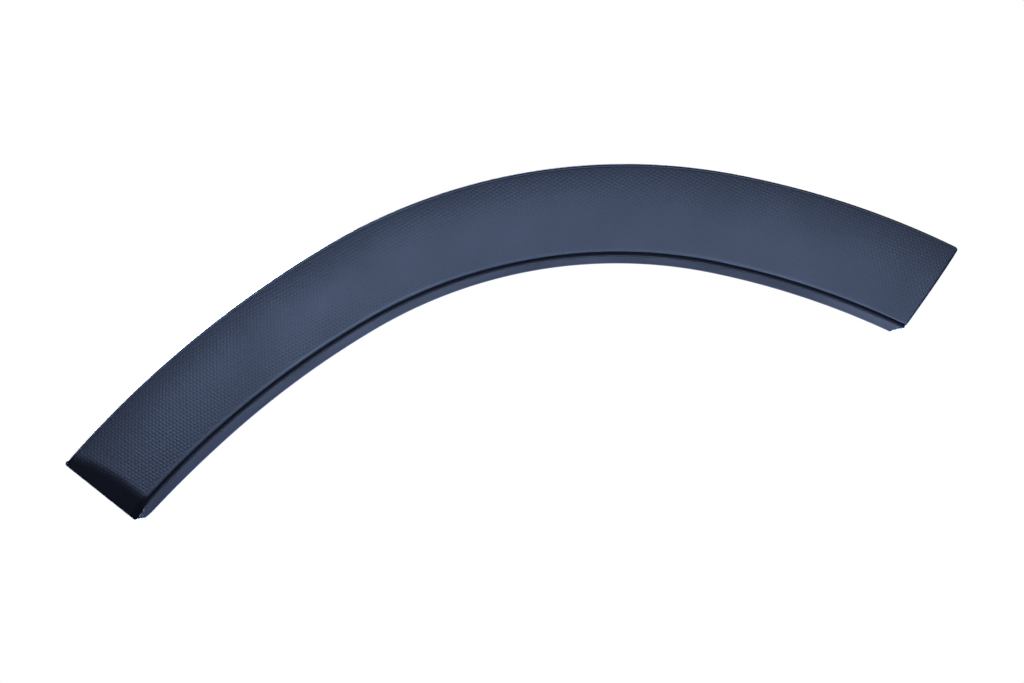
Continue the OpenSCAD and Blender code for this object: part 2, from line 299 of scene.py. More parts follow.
def outside_columns(s):
    """Bead, groove, shoulder and lip, from the face's inner border to the lip's edge."""
    g = GROOVE_W / 2
    bead_top = INNER_RISE + BEAD_RISE
    crest_t = g + CREST_SHARE * BEAD_W
    floor = bead_top - GROOVE_D
    shoulder = INNER_RISE - LIP_DROP
    tip = tip_h(s) + SOFT
    columns = []
    for u in np.linspace(1, 0, 6)[1:]:
        rise = BEAD_RISE * np.cos(np.pi / 2 * u) ** 2
        columns.append((crest_t + u * (FACE_IN - crest_t), INNER_RISE + rise))
    columns += arc(crest_t, bead_top - BEAD_ROLL, crest_t - g, BEAD_ROLL, 90, 180, 7)[1:]
    # The groove is a V with a rounded floor
    columns += [(FLOOR_SHARE * g, floor + FLOOR_ROUND), (0, floor), (-FLOOR_SHARE * g, floor + FLOOR_ROUND)]
    columns += arc(-g - SOFT, shoulder - SOFT, SOFT, SOFT, 0, 90, 6)
    # Two points lead from the rounded shoulder over to the lip's side
    columns += [(-g - SOFT - 0.3 * SOFT, shoulder - 0.05 * SOFT), (-g - 1.7 * SOFT, shoulder - 0.35 * SOFT)]
    for u in np.linspace(0, 1, 9)[1:]:
        h = LIP_TOP_H + (tip - LIP_TOP_H) * u
        columns.append((lip_t_at(s, h) + lip_hollow(h), h))
    return columns, tip


# %% Hidden side and rim
def inside_columns(s, tip):
    """Hidden side, from the lip's edge back to the outer flange, its outer edge and the rim."""
    g, w = GROOVE_W / 2, face_w(s)
    bead_top = INNER_RISE + BEAD_RISE
    root_h = bead_top - GROOVE_D - WALL - 2 * DRAFT
    edge = arc(lip_t_at(s, tip) + LIP_T / 2, tip, LIP_T / 2, SOFT, 180, 360, 7)[1:]
    hidden = []
    for u in np.linspace(0, 1, 5)[1:]:
        h = tip + (root_h - 2 * SOFT - tip) * u
        hidden.append((lip_t_at(s, h) + LIP_T, h))
    hidden += [(LIP_TOP_T + LIP_T + SOFT, root_h - SOFT / 2), (LIP_TOP_T + LIP_T + 2.5 * SOFT, root_h)]
    under_in, under_out = g + LIP_T + 2 * SOFT, w - FLANGE_T - 2 * SOFT
    for u in np.linspace(0, 1, 10):
        t = under_in + (under_out - under_in) * u
        hidden.append((t, crown(t, w) - WALL))
    hidden += [
        (w - FLANGE_T - SOFT, crown(w - FLANGE_T, w) - WALL - SOFT / 3),
        (w - FLANGE_T - DRAFT, OUTER_RISE - WALL - 2 * SOFT),
        (w - FLANGE_T, FOOT_CHAMFER + 0 * s),
        (w - FLANGE_T + FOOT_CHAMFER, 0 * s),
    ]
    edge_h = OUTER_RISE + RIM_RISE
    rim = [(w - FOOT_CHAMFER, 0 * s), (w, FOOT_CHAMFER + 0 * s)]
    rim += arc(w - SIDE_LEAN - EDGE_R, edge_h - EDGE_R, EDGE_R, EDGE_R, 0, 90, 6)
    rim += [(w - RIM_W + RIM_LEAD, edge_h + DRAFT / 2), (w - RIM_W, edge_h - DRAFT / 2)]
    return edge, hidden, rim


# %% The whole profile
def as_arrays(columns, s):
    """Columns of (t, h) as two arrays with a row for every station."""
    t = np.stack([np.broadcast_to(c[0], s.shape) for c in columns], axis=1)
    h = np.stack([np.broadcast_to(c[1], s.shape) for c in columns], axis=1)
    return t, h


def around(s):
    """The whole profile except the grained face, as arrays t and h with a row for every station."""
    outside, tip = outside_columns(s)
    edge, hidden, rim = inside_columns(s, tip)
    out_t, out_h = as_arrays(outside + edge, s)
    back_t, back = as_arrays(hidden, s)
    rim_t, rim_h = as_arrays(rim, s)
    station = s[:, None]
    heights = [front_h(station, out_h), back_h(station, back), front_h(station, rim_h)]
    # The lip's edge lies behind the body, where neither the bevel nor the round reaches
    heights[0] = np.where(out_h < 0, out_h, heights[0])
    # The foot of the rim stays on the body side
    heights[2] = np.where(rim_h < 1, rim_h, heights[2])
    return np.concatenate([out_t, back_t, rim_t], axis=1), np.concatenate(heights, axis=1)


sample_t, sample_h = around(np.array([0.0, TOP_S, ARCH_LEN]))
print(f"{sample_t.shape[1]} columns in the profile, {sample_h.min():.1f} to {sample_h.max():.1f} mm high")

# %% [markdown]
# ## The grain
#
# The face is moulded with a fine grain: small raised dots on a lattice that lies flat in the front
# view and doesn't follow the arch. The rows of dots stand 2.23 mm apart, and the dots in a row 2.6 mm.
# The lattice fans out a little from left to right, so it is laid in polar coordinates about a far point.
# A bump in the material could draw the dots as well, but it would leave the mesh smooth, and the dots
# would be gone wherever the mesh is used without its material. So they are points of the mesh.
#
# Each cell of the lattice is divided in three both ways. Every mesh point then has a whole number of
# thirds, `i` and `j`, and its height is a sum of three waves, cos(2 pi i / 3) + cos(2 pi j / 3) +
# cos(2 pi (i + j) / 3). The waves meet in a crest on every dot and cancel between the dots. A power
# of the sum pulls the ground between the dots down, so that each dot stands by itself.

# %% Grain lattice
ROW_STEP, ROW_SHIFT, DOT_STEP = 2.23, 1.04, 2.60
FAN_R, FAN_X = 2500.0, -370.0
GRAIN_H, GRAIN_EASE, EASE_FROM, DOT_POWER = 0.31, 0.2, 0.15, 1.5
# These thirds of a cell, both ways, cover the whole face
LATTICE_I, LATTICE_J = (-60, 860), (-560, 160)


def grain_lattice():
    """Lattice points in the X-Z plane, and each one's share of the grain's height.

    The waves' sum runs from -1.5 to 3. It is taken to 0 to 1 and then to the power.
    """
    i, j = np.meshgrid(np.arange(*LATTICE_I), np.arange(*LATTICE_J), indexing="ij")
    i, j = i.ravel(), j.ravel()
    u, v = i * ROW_STEP / 3, (i * ROW_SHIFT + j * DOT_STEP) / 3
    angle, radius = u / FAN_R, FAN_R - v
    x = FAN_X + radius * np.sin(angle) + MAIN_PIN[0]
    z = FAN_R - radius * np.cos(angle) + MAIN_PIN[1]
    waves = sum(np.cos(2 * np.pi * n / 3) for n in (i, j, i + j))
    return np.stack([x, z], axis=1), np.clip((waves + 1.5) / 4.5, 0, 1) ** DOT_POWER


print(f"dots {DOT_STEP} mm apart in rows {ROW_STEP} mm apart, {GRAIN_H} mm high at the low end")

# %% Places of points on the arch
# The search for a section starts this far past both ends, and is halved this often
END_MARGIN, HALVINGS = 8.0, 34


def along_and_across(xz):
    """s and t of points in the X-Z plane, with the section through each point found by halving.

    A point lies beyond the section at s where its offset from the line, crossed with the heading
    there, is positive.
    """
    low, high = np.full(len(xz), -END_MARGIN), np.full(len(xz), ARCH_LEN + END_MARGIN)
    for _ in range(HALVINGS):
        s = (low + high) / 2
        offset, head = xz - line_at(s), heading(cut_lean(s))
        beyond = offset[:, 0] * head[:, 1] - offset[:, 1] * head[:, 0] > 0
        low, high = np.where(beyond, s, low), np.where(beyond, high, s)
    return s, np.sum((xz - line_at(s)) * heading(cut_lean(s)), axis=1)


pin_s, pin_t = along_and_across(MAIN_PIN[None, :])
print(f"the main pin is found {pin_s[0]:.1f} mm along and {pin_t[0]:.1f} mm across")

# %% [markdown]
# ## The moulding's mesh
#
# The smooth parts are a grid of stations by columns. A grid would cut across the dots of the face, whose
# rows don't follow the arch. So the grained face is a net of triangles over the lattice points, with the
# grid's two border columns as its frame. The two share their points, and the surface is closed. Each end
# is closed with a flat cap.

# %% Stations and face points
STEP = DOT_STEP / 3
plain = np.linspace(0, ARCH_LEN - CORNER_R, int((ARCH_LEN - CORNER_R) / STEP))
# Over the rounded corner the stations stand at equal angles, and two more follow the low end's small round
corner = ARCH_LEN - CORNER_R * (1 - np.sin(np.radians(np.linspace(0, 90, 9)[1:])))
start = np.array([0, 0.12, 0.3])
stations = np.concatenate([start, plain[1:], corner])
around_t, around_h = around(stations)
n_stations, n_columns = around_t.shape

end_steps = int(TOP_FACE_W / STEP)
inner_border = np.stack([stations, np.full(n_stations, FACE_IN)], axis=1)
outer_border = np.stack([stations, face_out(stations)], axis=1)


def across_end(s):
    """Points across the face at an end, without the two on its borders."""
    t = np.linspace(FACE_IN, face_out(np.array(s)), end_steps)[1:-1]
    return np.stack([np.full(len(t), s), t], axis=1)


low_end, high_end = across_end(0.0), across_end(ARCH_LEN)
lattice_xz, lattice_grain = grain_lattice()
lattice_s, lattice_t = along_and_across(lattice_xz)
# Lattice points nearer to a border than this would give slivers
border_gap = 0.45 * STEP
inside = (
    (lattice_s > border_gap)
    & (lattice_s < ARCH_LEN - border_gap)
    & (lattice_t > FACE_IN + border_gap)
    & (lattice_t < face_out(np.clip(lattice_s, 0, ARCH_LEN)) - border_gap)
)
dots = np.stack([lattice_s, lattice_t], axis=1)[inside]
dot_grain = lattice_grain[inside]
print(f"{n_stations} stations by {n_columns} columns, {len(dots)} lattice points in the face")

# %% Net of triangles over the face
# The loop of the frame runs up the inner border, across the high end, back down and across the low end
loop = np.concatenate([inner_border, high_end, outer_border[::-1], low_end[::-1]])
face_st = np.concatenate([loop, dots])
face_grain = np.concatenate([np.zeros(len(loop)), dot_grain])
face_xz = place(face_st[:, 0], face_st[:, 1])
loop_ids = np.arange(len(loop))
loop_edges = np.stack([loop_ids, np.roll(loop_ids, -1)], axis=1)
# The Delaunay net keeps the loop's edges and what lies inside them. It returns points, edges and faces,
# and then for each of its points the given ones that it stands for
KEEP_INSIDE, NEAR_MM = 1, 1e-5
net = delaunay_2d_cdt(face_xz.tolist(), loop_edges.tolist(), [], KEEP_INSIDE, NEAR_MM)
net_ids = np.array([ids[0] for ids in net[3]])
net_faces = net_ids[np.array(net[2])]
corner_a, corner_b, corner_c = (face_xz[net_faces[:, k]] for k in range(3))
turn = np.cross(corner_b - corner_a, corner_c - corner_a)
net_faces = np.where(turn[:, None] > 0, net_faces, net_faces[:, ::-1])
print(f"{len(net_faces)} triangles in the grained face, {len(face_st) - len(net_ids)} points left out")

# %% Height of the face and its grain
# The grain fades in beside the smooth borders
FADE_W = 1.0
fade_t = np.minimum(face_st[:, 1] - FACE_IN, face_out(face_st[:, 0]) - face_st[:, 1])
fade_s = np.minimum(face_st[:, 0], ARCH_LEN - face_st[:, 0])
fade = np.clip(np.minimum(fade_t, fade_s) / FADE_W, 0, 1)
face_height = front_h(face_st[:, 0], crown(face_st[:, 1], face_w(face_st[:, 0])))
# It is highest at the low end, where the dots show most in the photograph, and eases to the high end
far = np.clip((face_st[:, 0] / ARCH_LEN - EASE_FROM) / (1 - EASE_FROM), 0, 1)
grain_height = GRAIN_H * (1 - GRAIN_EASE * far) * fade
# The solid's face is the mean surface, so the ground lies below it and the dots rise above it
face_points = in_space(face_xz, face_height + grain_height * (face_grain - dot_grain.mean()))
print(f"face up to {face_height.max():.1f} mm above the body, its grain up to {grain_height.max():.2f} mm")

# %% Grid of the smooth parts, and the caps
grid_xz = place(stations[:, None], tucked(stations[:, None], around_t))
grid_points = in_space(grid_xz, around_h)
inner_ids = np.arange(n_stations)
outer_ids = n_stations + len(high_end) + np.arange(n_stations)[::-1]
grid_ids = len(face_st) + np.arange(n_stations * n_columns).reshape(n_stations, n_columns)
# Columns run from the face's inner border round to its outer border
ring = np.concatenate([inner_ids[:, None], grid_ids, outer_ids[:, None]], axis=1)
quads = np.stack([ring[:-1, :-1], ring[:-1, 1:], ring[1:, 1:], ring[1:, :-1]], axis=-1).reshape(-1, 4)


def cap(ring_row, end_ids, row_t, row_h, end_st, end_h, flip):
    """Flat cap over one end: the section's closed outline in triangles, turned by the sign of their area."""
    ids = np.concatenate([ring_row, end_ids])
    t = np.concatenate([row_t, end_st[:, 1]])
    h = np.concatenate([row_h, end_h])
    outline = [Vector((a, b, 0)) for a, b in zip(t, h)]
    local = np.array(tessellate_polygon([outline]))
    triangles = ids[local]
    area = np.sum(
        (t[local[:, 1]] - t[local[:, 0]]) * (h[local[:, 2]] - h[local[:, 0]])
        - (t[local[:, 2]] - t[local[:, 0]]) * (h[local[:, 1]] - h[local[:, 0]])
    )
    return triangles[:, ::-1] if (area > 0) == flip else triangles


def end_row(k, s):
    """t and h round the section at one end, with the face's two border points."""
    t = np.concatenate([[FACE_IN], around_t[k], [face_out(np.array(s))]])
    border = front_h(s, crown(np.array([FACE_IN, t[-1]]), face_w(np.array(s))))
    return t, np.concatenate([[border[0]], around_h[k], [border[1]]])


high_ids = n_stations + np.arange(len(high_end))
low_ids = len(loop) - len(low_end) + np.arange(len(low_end))
caps = []
for k, s, ids, points, flip in (
    (0, 0.0, low_ids, low_end[::-1], False),
    (-1, ARCH_LEN, high_ids[::-1], high_end[::-1], True),
):
    row_t, row_h = end_row(k, s)
    end_h = front_h(s, crown(points[:, 1], face_w(np.array(s))))
    caps.append(cap(ring[k], ids, row_t, row_h, points, end_h, flip))
print(f"{len(quads)} quads in the smooth parts, {sum(map(len, caps))} triangles in the caps")

# %% [markdown]
# ## Putting arrays into a mesh
#
# On the real object everything is one piece of plastic. It could be one mesh here too, but the moulding,
# the ribs, the towers, the pins and the ear are easier to follow as an object each. One helper makes them
# all. It takes the points and the faces, marks edges sharper than an angle as sharp and shades the rest
# smooth, and says which material each face has.

# %% Mesh helper
# Edges that turn by more than this many degrees stay sharp
SHARP_A = 38


def make_piece(name, points, faces, materials, slots=None):
    """A mesh object at the origin from points in metres and lists of faces."""
    mesh = bpy.data.meshes.new(name)
    mesh.from_pydata(np.asarray(points).tolist(), [], faces)
    for material in materials:
        mesh.materials.append(material)
    if slots is not None:
        mesh.polygons.foreach_set("material_index", slots)
    mesh.polygons.foreach_set("use_smooth", np.ones(len(mesh.polygons), bool))
    mesh.set_sharp_from_angle(angle=np.radians(SHARP_A))
    mesh.validate()
    piece = bpy.data.objects.new(name, mesh)
    bpy.context.scene.collection.objects.link(piece)
    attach(piece, "root")
    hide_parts("arch_trim")
    print(f"{name}: {len(mesh.vertices)} points, {sum(len(p.vertices) - 2 for p in mesh.polygons)} triangles")
    return piece


# %% [markdown]
# ## Materials
#
# Such trims are mostly polypropylene with a mineral filler, dyed right through, here in a dark navy grey.
# The part comes out of the mould with the mould's own finish: satin where the steel was smooth, and
# duller where it was etched. A picture of such plastic could be laid over the mesh, but it would bring
# its own lamps and scale with it. So both materials are made of nodes. They have one colour, and differ
# in roughness and in their finest grain.

# %% Colour and node helpers
def linear(hex_colour):
    """Linear red, green, blue and alpha from an sRGB hex value."""
    srgb = np.array([int(hex_colour[i : i + 2], 16) for i in (1, 3, 5)]) / 255
    value = np.where(srgb <= 0.04045, srgb / 12.92, ((srgb + 0.055) / 1.055) ** 2.4)
    return (*value.tolist(), 1.0)


def add_node(tree, kind, settings=None, inputs=None):
    """A node of a kind, with its settings, and with each input set to a value or linked to a socket."""
    node = tree.nodes.new(kind)
    for key, value in (settings or {}).items():
        setattr(node, key, value)
    for key, value in (inputs or {}).items():
        if isinstance(value, bpy.types.NodeSocket):
            tree.links.new(value, node.inputs[key])
        else:
            node.inputs[key].default_value = value
    return node


def new_material(name):
    """An empty material and its node tree."""
    material = bpy.data.materials.new(name)
    material.use_nodes = True
    material.node_tree.nodes.clear()
    return material, material.node_tree


NAVY = "#07080e"
print("navy in linear light:", [round(v, 4) for v in linear(NAVY)[:3]])

# %% Moulded polypropylene
GLOSS_TINT = "#b1cbff"
PLASTIC_IOR = 1.49
# Size of the patches in which the roughness wanders, and the part of the noise's range that it spans
CLOUD_MM, CLOUD_LOW, CLOUD_HIGH = 45, 0.3, 0.7
BUMP_STRENGTH = 0.35


def moulded_polypropylene(name, roughness, spread, speck_mm, bump_mm):
    """Dyed polypropylene: roughness wanders a little, and a fine noise dulls the surface."""
    material, tree = new_material(name)
    where = add_node(tree, "ShaderNodeTexCoord").outputs["Object"]
    # One noise cell is one unit over its scale, and a unit is a metre here
    cloud = add_node(
        tree, "ShaderNodeTexNoise", inputs={"Vector": where, "Scale": 1000 / CLOUD_MM, "Detail": 3.0}
    )
    speck = add_node(
        tree, "ShaderNodeTexNoise", inputs={"Vector": where, "Scale": 1000 / speck_mm, "Detail": 2.0}
    )
    rough = add_node(
        tree,
        "ShaderNodeMapRange",
        inputs={
            "Value": cloud.outputs["Fac"],
            "From Min": CLOUD_LOW,
            "From Max": CLOUD_HIGH,
            "To Min": roughness - spread,
            "To Max": roughness + spread,
        },
    )
    bump = add_node(
        tree,
        "ShaderNodeBump",
        inputs={"Height": speck.outputs["Fac"], "Strength": BUMP_STRENGTH, "Distance": bump_mm / 1000},
    )
    shader = add_node(
        tree,
        "ShaderNodeBsdfPrincipled",
        inputs={
            "Base Color": linear(NAVY),
            "IOR": PLASTIC_IOR,
            "Specular Tint": linear(GLOSS_TINT),
            "Roughness": rough.outputs["Result"],
            "Normal": bump.outputs["Normal"],
        },
    )
    add_node(tree, "ShaderNodeOutputMaterial", inputs={"Surface": shader.outputs["BSDF"]})
    return material


grained = moulded_polypropylene(
    "grained_polypropylene", roughness=0.50, spread=0.03, speck_mm=0.35, bump_mm=0.03
)
satin = moulded_polypropylene("satin_polypropylene", roughness=0.40, spread=0.03, speck_mm=0.6, bump_mm=0.01)
print(f"materials: {grained.name} and {satin.name}, both {NAVY}")

# %% [markdown]
# ## The moulding
#
# The face, the bead, the lip, the rim and the whole inside are one wall on the real object. They could be
# separate meshes laid edge to edge, but light would show the seams. So they are one closed mesh with two
# materials: the net of the face has the grained one, and all else has the satin one.

# %% The moulding
points = np.concatenate([face_points, grid_points.reshape(-1, 3)])
faces = net_faces.tolist() + quads.tolist() + sum([c.tolist() for c in caps], [])
slots = np.concatenate([np.zeros(len(net_faces), int), np.ones(len(faces) - len(net_faces), int)])
make_piece("moulding", points, faces, [grained, satin], slots)

# %% [markdown]
# ## Ribs, towers and pins on the back
#
# The photograph doesn't show the back, so this is what such trims have there: ribs that stiffen them,
# towers that hold push-in clips, and pins that find their holes in the body. They stand in the hollow of
# the shell, with their tops bedded half way into its wall. A boolean union could join them to it, but it
# would cut up the shell's even mesh for a seam that lies inside the wall. Each is worked out in the frame
# of one section: `a` along the arch, `t` across it and `h` above the body side.

# %% Local frame
def on_section(s, a, t, h):
    """Points in metres: the section at s, moved a along the arch, t across it and h above the body."""
    angle = np.radians(cut_lean(np.array(s)))
    along = np.array([np.cos(angle), -np.sin(angle)])
    xz = place(np.array(s), t)
    return in_space(xz + np.asarray(a)[..., None] * along, np.asarray(h))


def bed(s, t):
    """Height half way into the shell's wall over a point of the hollow."""
    groove = np.where(t < GROOVE_W / 2 + LIP_T, GROOVE_D, 0)
    return crown(t, full_w(s)) - WALL / 2 - groove


# Edges that turn by more than this many degrees are rounded
EDGE_A = 40


def bevelled(piece, width_mm):
    """A small round on a piece's edges, as a mould's cut edges leave."""
    modifier = piece.modifiers.new("edge_round", "BEVEL")
    modifier.width = width_mm / 1000
    modifier.segments = 2
    modifier.limit_method = "ANGLE"
    modifier.angle_limit = np.radians(EDGE_A)


middle_bed = bed(TOP_S, np.array(CLIP_T))
print(f"half way into the wall over the main pin is {middle_bed:.1f} mm above the body side")

# %% [markdown]
# ## Ribs
#
# A rib is a thin wall across the hollow. It keeps the long shell from twisting, and it ends short of the
# body side. A cube scaled flat would be quicker, but its straight top can't follow the crowned shell, so
# the rib is a strip of columns that each reach up to the bed. The wall near the high end is one rib more,
# thicker, and it goes down to the body side.

# %% Ribs
RIB_COLUMNS = 24


def rib(s, thick, h_low):
    """Thin wall across the hollow: a strip of columns in t, between h_low and the bed, on both sides."""
    t = np.linspace(lip_t_at(s, h_low) + LIP_T / 2, full_w(s) - FLANGE_T / 2, RIB_COLUMNS)
    top = bed(s, t)
    low = np.full_like(t, h_low)
    corners = [(-thick / 2, low), (-thick / 2, top), (thick / 2, top), (thick / 2, low)]
    points = np.stack([on_section(s, a + 0 * t, t, h) for a, h in corners], axis=1)
    ids = np.arange(len(t) * 4).reshape(len(t), 4)
    sides = [
        np.stack([ids[:-1, k], ids[:-1, m], ids[1:, m], ids[1:, k]], axis=1)
        for k, m in ((0, 1), (1, 2), (2, 3), (3, 0))
    ]
    faces = np.concatenate(sides).tolist() + [ids[0, ::-1].tolist(), ids[-1].tolist()]
    return points.reshape(-1, 3), faces


def join(parts):
    """Several lists of points and faces as one, with the faces' numbers moved on."""
    points, faces, first = [], [], 0
    for p, f in parts:
        points.append(p)
        faces += [[first + i for i in face] for face in f]
        first += len(p)
    return np.concatenate(points), faces


# Ribs stand at every step of the pitch that no tower takes, and one step past each end tower
clip_pitch = (ARCH_LEN - 2 * CLIP_INSET) / (CLIP_COUNT - 1)
rib_pitch = clip_pitch / RIB_SPACES
rib_numbers = [n for n in range(-1, (CLIP_COUNT - 1) * RIB_SPACES + 2) if n % RIB_SPACES]
ribs = [rib(CLIP_INSET + n * rib_pitch, RIB_T, RIB_GAP) for n in rib_numbers]
ribs.append(rib(ARCH_LEN - CORNER_R - END_WALL_T / 2, END_WALL_T, 0.0))
RIB_ROUND = 0.2
bevelled(make_piece("cross_ribs", *join(ribs), [satin]), RIB_ROUND)

# %% [markdown]
# ## Clip towers
#
# A clip tower is a hollow block. Its seat has a keyhole that is open on the outer side, so that a clip's
# head slides in there. Booleans could cut the hollow and the keyhole out of a block, but then the modifier
# decides how the faces round the cuts are split. Here the block's outline, the hollow's and the keyhole's
# are each carried from one height to another as a band of faces, and flat faces join the bands.

# %% Clip towers
KEY_STEPS, TOWER_ROUND = 25, 0.25


def tower(s):
    """One clip tower: bands between the heights of its outlines, and flat faces that join them."""
    a, b = TOWER_L / 2, TOWER_W / 2
    ia, ib = a - TOWER_WALL, b - TOWER_WALL
    slot, r = KEY_SLOT_W / 2, KEY_D / 2
    neck = np.sqrt(r * r - slot * slot)
    turn = np.degrees(np.arctan2(neck, slot))
    angles = np.radians(np.linspace(turn, -180 - turn, KEY_STEPS))
    key = [(slot, b)] + [(r * np.cos(v), r * np.sin(v)) for v in angles] + [(-slot, b)]
    outer = [(a, b), (a, -b), (-a, -b), (-a, b)]
    hollow = [(ia, b), (ia, -ib), (-ia, -ib), (-ia, b)]
    low, seat = SEAT_GAP, SEAT_GAP + SEAT_T
    # A row without a height of its own follows the bed
    rows = {"outer_low": (outer, low), "outer_top": (outer, None)}
    rows |= {"hollow_low": (hollow, seat), "hollow_top": (hollow, None)}
    rows |= {"key_low": (key, low), "key_top": (key, seat)}
    points, ids, first = [], {}, 0
    for name, (outline, h) in rows.items():
        along = np.array([p[0] for p in outline])
        t = CLIP_T + np.array([p[1] for p in outline])
        height = bed(s, t) if h is None else np.full(len(t), h)
        points.append(on_section(s, along, t, height))
        ids[name] = list(range(first, first + len(outline)))
        first += len(outline)

    def band(low_row, top_row):
        """Quads between two rows of points."""
        return [[p, q, r, v] for p, q, r, v in zip(low_row[:-1], low_row[1:], top_row[1:], top_row[:-1])]

    faces = band(ids["outer_low"], ids["outer_top"])
    faces += [f[::-1] for f in band(ids["hollow_low"], ids["hollow_top"])]
    faces += [f[::-1] for f in band(ids["key_low"], ids["key_top"])]
    # The seat's two sides and the bedded top
    faces.append((ids["outer_low"] + ids["key_low"][::-1])[::-1])
    faces.append(ids["hollow_low"] + ids["key_top"][::-1])
    faces.append(ids["outer_top"] + ids["hollow_top"][::-1])
    # The two ends of the wall beside the opening
    ol, ot, hl, ht = ids["outer_low"], ids["outer_top"], ids["hollow_low"], ids["hollow_top"]
    kl, kt = ids["key_low"], ids["key_top"]
    faces.append([ol[0], ot[0], ht[0], hl[0], kt[0], kl[0]])
    faces.append([ol[3], kl[-1], kt[-1], hl[3], ht[3], ot[3]])
    return np.concatenate(points), faces


towers = [tower(CLIP_INSET + n * clip_pitch) for n in range(CLIP_COUNT)]
bevelled(make_piece("clip_towers", *join(towers), [satin]), TOWER_ROUND)

# %% [markdown]
# ## Locating pins
#
# A locating pin finds its hole in the body before the clips snap in, so it reaches past the body side and
# ends in a lead. Two cylinders and a cone could be stacked, but where they meet there would be faces
# inside. The pin is one profile turned about its axis, with its edges already rounded in the profile, so
# it needs no bevel.

# %% Locating pins
# Rounds where the pin meets its shoulder, at the shoulder's edge, and at the lead's tip
FOOT_ROUND, ROOT_ROUND, ROOT_MIDDLE, TIP_ROUND = 0.3, 0.4, 0.12, 0.3


def turned(s, t, profile, sides=48):
    """Turned piece about an axis through the section: radius and height carried round a full circle."""
    r, h = np.array(profile).T
    a = np.radians(np.arange(sides) * 360 / sides)
    points = on_section(s, np.outer(r, np.cos(a)), t + np.outer(r, np.sin(a)), h[:, None] + 0 * a)
    ids = np.arange(len(r) * sides).reshape(len(r), sides)
    after = np.roll(ids, -1, axis=1)
    quads = np.stack([ids[:-1], after[:-1], after[1:], ids[1:]], axis=-1).reshape(-1, 4)
    return points.reshape(-1, 3), quads.tolist() + [ids[0, ::-1].tolist(), ids[-1].tolist()]


def pin(s):
    """Locating pin: shoulder, straight part and pointed lead, with its edges rounded in the profile."""
    top = float(bed(s, np.array(CLIP_T)))
    return turned(
        s,
        CLIP_T,
        [
            (PIN_ROOT_R, top),
            (PIN_ROOT_R, SHOULDER_GAP + ROOT_ROUND),
            (PIN_ROOT_R - ROOT_MIDDLE, SHOULDER_GAP + ROOT_MIDDLE),
            (PIN_ROOT_R - ROOT_ROUND, SHOULDER_GAP),
            (PIN_R + FOOT_ROUND, SHOULDER_GAP),
            (PIN_R, SHOULDER_GAP - FOOT_ROUND),
            (PIN_R, -PIN_REACH),
            (PIN_R - PIN_LEAD / 2 + TIP_ROUND / 2, -PIN_REACH - PIN_LEAD + TIP_ROUND),
            (PIN_R - PIN_LEAD / 2 - TIP_ROUND, -PIN_REACH - PIN_LEAD),
        ],
    )


pins = [pin(TOP_S), pin(CLIP_INSET + clip_pitch / 2)]
make_piece("locating_pins", *join(pins), [satin])

# %% [markdown]
# ## Corner ear
#
# In the photograph a small ear stands out at the outer corner of the low end. It could be drawn into the
# shell's outline, but it stands out by less than one step of that grid. A short turned disc that overlaps
# the corner gives it with few faces.

# %% Corner ear
EAR_ROUND, EAR_MIDDLE = 0.3, 0.1
ear_profile = [
    (EAR_R, 0.0),
    (EAR_R, WALL - EAR_ROUND),
    (EAR_R - EAR_MIDDLE, WALL - EAR_MIDDLE),
    (EAR_R - EAR_ROUND, WALL),
]
ear = turned(EAR_R, full_w(0.0) - EAR_R + EAR_OUT, ear_profile[::-1], sides=32)
make_piece("corner_ear", *ear, [satin])

# %% [markdown]
# ## World
#
# The photograph shows the part against plain white. A white world would give that at once, but it would
# also light the part from all round, and the bevel and the steep sides would come out too light. So only
# the camera sees the white, and all other rays meet a nearly black world.

# %% World
DARK_TINT, DARK_STRENGTH = (0.6, 0.77, 1, 1), 0.004
world = bpy.data.worlds.new("studio")
bpy.context.scene.world = world
world.use_nodes = True
tree = world.node_tree
tree.nodes.clear()
dark = add_node(tree, "ShaderNodeBackground", inputs={"Color": DARK_TINT, "Strength": DARK_STRENGTH})
backdrop = add_node(tree, "ShaderNodeBackground", inputs={"Color": (1, 1, 1, 1), "Strength": 1.0})
seen = add_node(tree, "ShaderNodeLightPath").outputs["Is Camera Ray"]
mixed = add_node(
    tree,
    "ShaderNodeMixShader",
    inputs={0: seen, 1: dark.outputs["Background"], 2: backdrop.outputs["Background"]},
)
add_node(tree, "ShaderNodeOutputWorld", inputs={"Surface": mixed.outputs["Shader"]})
print(f"world: white for the camera, strength {DARK_STRENGTH} for all else")

# %% [markdown]
# ## Lights
#
# How the real part was lit isn't known. One big soft box would be the usual start, but in the photograph
# the sheen of the face changes along the arch. So these lights are a set that gives the photograph's
# look, with powers that were fitted to how bright the face, the lip, the groove and the rim are there. A
# row of four soft boxes before the part makes the broad sheen of the face, the second from the left being
# the strongest. A strip higher up lights the outer half, and a box low on the right opens the groove.
# Bluish lights behind, below and at the upper left glance off the steep sides: the lip gets its cool
# shine, and the rim a thin line.
#
# The boxes in the row don't overlap, because a lamp hides what lies behind it. The camera doesn't see the
# lamps, because those behind the part would stand in the picture as bright panels.

# %% Lights
PART_MIDDLE = Vector((-0.07, 0, -0.09))


def soft_light(name, at, width, height, power, colour):
    """An area light that looks at the middle of the part and isn't seen by the camera."""
    data = bpy.data.lights.new(name, "AREA")
    data.shape = "RECTANGLE"
    data.size, data.size_y, data.energy = width, height, power
    data.color = linear(colour)[:3]
    lamp = bpy.data.objects.new(name, data)
    bpy.context.scene.collection.objects.link(lamp)
    lamp.location = at
    lamp.visible_camera = False
    lamp.rotation_euler = (PART_MIDDLE - Vector(at)).to_track_quat("-Z", "Y").to_euler()


WHITE, COOL = "#ffffff", "#c0d4ff"
FRONT_Y, BACK_Y = -1.9, 1.2
